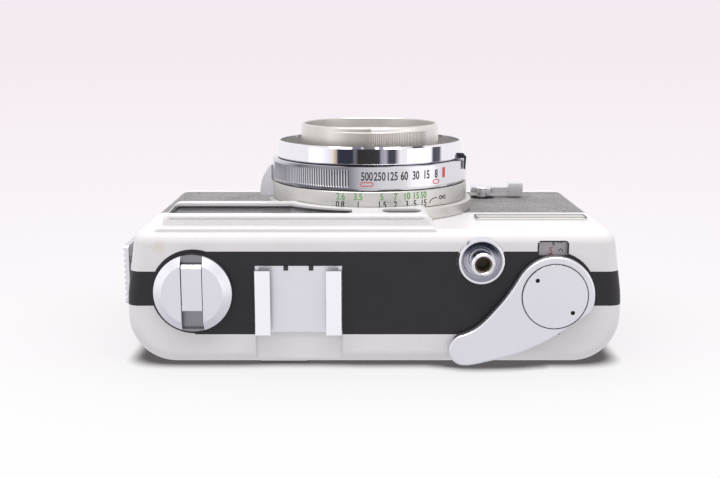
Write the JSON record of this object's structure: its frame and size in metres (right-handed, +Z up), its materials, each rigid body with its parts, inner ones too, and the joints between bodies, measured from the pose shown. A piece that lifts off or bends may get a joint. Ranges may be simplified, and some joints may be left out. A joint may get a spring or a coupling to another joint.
{
  "type": "half frame camera",
  "caption": "Compact half frame film camera with viewfinder, leaf shutter lens with focus, speed and aperture rings, film advance lever, rewind crank and hinged back.",
  "frame": {"origin": "middle of the body block on the plane of the base", "axes": "+Z up, -Y the way the lens looks, +X towards the rewind knob and the door latch"},
  "size_m": [0.1198, 0.054, 0.0709],
  "materials": {
    "painted_cover": "satin silver-white",
    "black_band": "satin black",
    "leather": "fine pebbled grain",
    "satin_chrome": "satin",
    "bright_chrome": "polished",
    "satin_alloy": "satin anodised",
    "cast_alloy": "cast, blackened",
    "dark_metal": "matt black",
    "spring_steel": "plain",
    "brass": "turned",
    "black_plastic": "matt",
    "grey_dial": "matt",
    "screen": "frosted",
    "glass": "coated",
    "cell": "plain"
  },
  "bodies": {
    "camera_body": {"accessory_shoe": "satin_chrome", "aperture_blades": "dark_metal", "badge_plate": "satin_alloy", "battery_cell": "cell", "bottom_cover": "painted_cover", "cds_window": "glass", "chassis": "cast_alloy", "counter_window": "glass", "cover_screws": "satin_chrome", "eyepiece_frame": "satin_chrome", "eyepiece_lens": "glass", "film_gate": "dark_metal", "filter_glass": "glass", "filter_ring": "satin_alloy", "finder_tube": "black_plastic", "finder_window_frame": "dark_metal", "finder_window_glass": "glass", "frame_line_screen": "screen", "front_leather_left": "leather", "front_leather_right": "leather", "front_lens": "glass", "front_lens_ring": "dark_metal", "lens_flange": "satin_alloy", "light_cell": "dark_metal", "meter_movement": "dark_metal", "objective_lens": "glass", "rear_lens": "glass", "rear_lens_cell": "dark_metal", "release_collar": "bright_chrome", "shoe_stop": "dark_metal", "shutter_barrel": "satin_alloy", "strap_lug": "bright_chrome", "sync_terminal": "bright_chrome", "top_band": "black_band", "top_cover": "painted_cover", "tripod_socket": "satin_chrome"},
    "advance_lever": {"advance_lever": "satin_chrome", "lever_cap": "satin_chrome", "advance_shaft": "spring_steel"},
    "counter_dial": {"counter_dial": "grey_dial"},
    "takeup_spool": {"takeup_spool": "black_plastic"},
    "film_sprocket": {"film_sprocket": "black_plastic"},
    "release_button": {"release_button": "bright_chrome"},
    "rewind_sleeve": {"rewind_sleeve": "brass"},
    "rewind_knob": {"rewind_knob": "satin_chrome", "rewind_shaft": "spring_steel", "crank_pin": "spring_steel"},
    "rewind_crank": {"rewind_crank": "satin_chrome"},
    "focus_ring": {"focus_ring": "satin_alloy"},
    "speed_ring": {"speed_ring": "satin_chrome"},
    "aperture_ring": {"aperture_ring": "bright_chrome"},
    "self_timer_lever": {"self_timer_lever": "bright_chrome"},
    "back_door": {"back_door": "dark_metal", "door_leather": "leather", "pressure_plate": "dark_metal", "pressure_spring": "spring_steel", "hinge_pin": "spring_steel"},
    "back_latch": {"back_latch": "satin_chrome"},
    "rewind_release_button": {"rewind_release_button": "satin_chrome"},
    "battery_cover": {"battery_cover": "satin_chrome"}
  },
  "joints": [
    {"name": "lever_swing", "type": "hinge", "parent": "camera_body", "child": "advance_lever", "pos_m": [-0.0411, -0.0013, 0.0679], "axis": [0, 0, 1], "range_deg": [0, 150]},
    {"name": "counter_turn", "type": "hinge", "parent": "camera_body", "child": "counter_dial", "pos_m": [-0.0411, -0.0013, 0.0637], "axis": [0, 0, 1], "range_deg": [0, 330]},
    {"name": "spool_turn", "type": "hinge", "parent": "camera_body", "child": "takeup_spool", "pos_m": [-0.0411, -0.0013, 0.029], "axis": [0, 0, 1], "range_deg": [0, 360]},
    {"name": "sprocket_turn", "type": "hinge", "parent": "camera_body", "child": "film_sprocket", "pos_m": [-0.0205, 0.00195, 0.029], "axis": [0, 0, 1], "range_deg": [-360, 0]},
    {"name": "release_press", "type": "slide", "parent": "camera_body", "child": "release_button", "axis": [0, 0, -1], "range_m": [0, 0.0022]},
    {"name": "rewind_lift", "type": "slide", "parent": "camera_body", "child": "rewind_sleeve", "axis": [0, 0, 1], "range_m": [0, 0.008]},
    {"name": "rewind_turn", "type": "hinge", "parent": "rewind_sleeve", "child": "rewind_knob", "pos_m": [0.0417, -0.00175, 0.0675], "axis": [0, 0, 1], "continuous": true},
    {"name": "crank_fold", "type": "hinge", "parent": "rewind_knob", "child": "rewind_crank", "pos_m": [0.0417, 0.00135, 0.0681], "axis": [-1, 0, 0], "range_deg": [0, 165]},
    {"name": "focus_turn", "type": "hinge", "parent": "camera_body", "child": "focus_ring", "pos_m": [0.00085, -0.0213, 0.029], "axis": [0, -1, 0], "range_deg": [-66, 19]},
    {"name": "speed_turn", "type": "hinge", "parent": "camera_body", "child": "speed_ring", "pos_m": [0.00085, -0.0263, 0.029], "axis": [0, -1, 0], "range_deg": [-72, 10]},
    {"name": "aperture_turn", "type": "hinge", "parent": "camera_body", "child": "aperture_ring", "pos_m": [0.00085, -0.0315, 0.029], "axis": [0, -1, 0], "range_deg": [0, 100]},
    {"name": "timer_wind", "type": "hinge", "parent": "camera_body", "child": "self_timer_lever", "pos_m": [-0.0305, -0.0183, 0.0135], "axis": [0, -1, 0], "range_deg": [0, 90]},
    {"name": "door_swing", "type": "hinge", "parent": "camera_body", "child": "back_door", "pos_m": [-0.0582, 0.006, 0.024], "axis": [0, 0, 1], "range_deg": [0, 135]},
    {"name": "latch_slide", "type": "slide", "parent": "camera_body", "child": "back_latch", "axis": [0, 0, -1], "range_m": [0, 0.0024]},
    {"name": "rewind_release_press", "type": "slide", "parent": "camera_body", "child": "rewind_release_button", "axis": [0, 0, 1], "range_m": [0, 0.0015]},
    {"name": "battery_cover_turn", "type": "hinge", "parent": "camera_body", "child": "battery_cover", "pos_m": [0.017, -0.002, 0.001], "axis": [0, 0, 1], "range_deg": [0, 90]}
  ],
  "couplings": [
    {"joint": "spool_turn", "follows": "lever_swing", "ratio": 1},
    {"joint": "sprocket_turn", "follows": "lever_swing", "ratio": -1.2},
    {"joint": "counter_turn", "follows": "lever_swing", "ratio": 0.03}
  ]
}
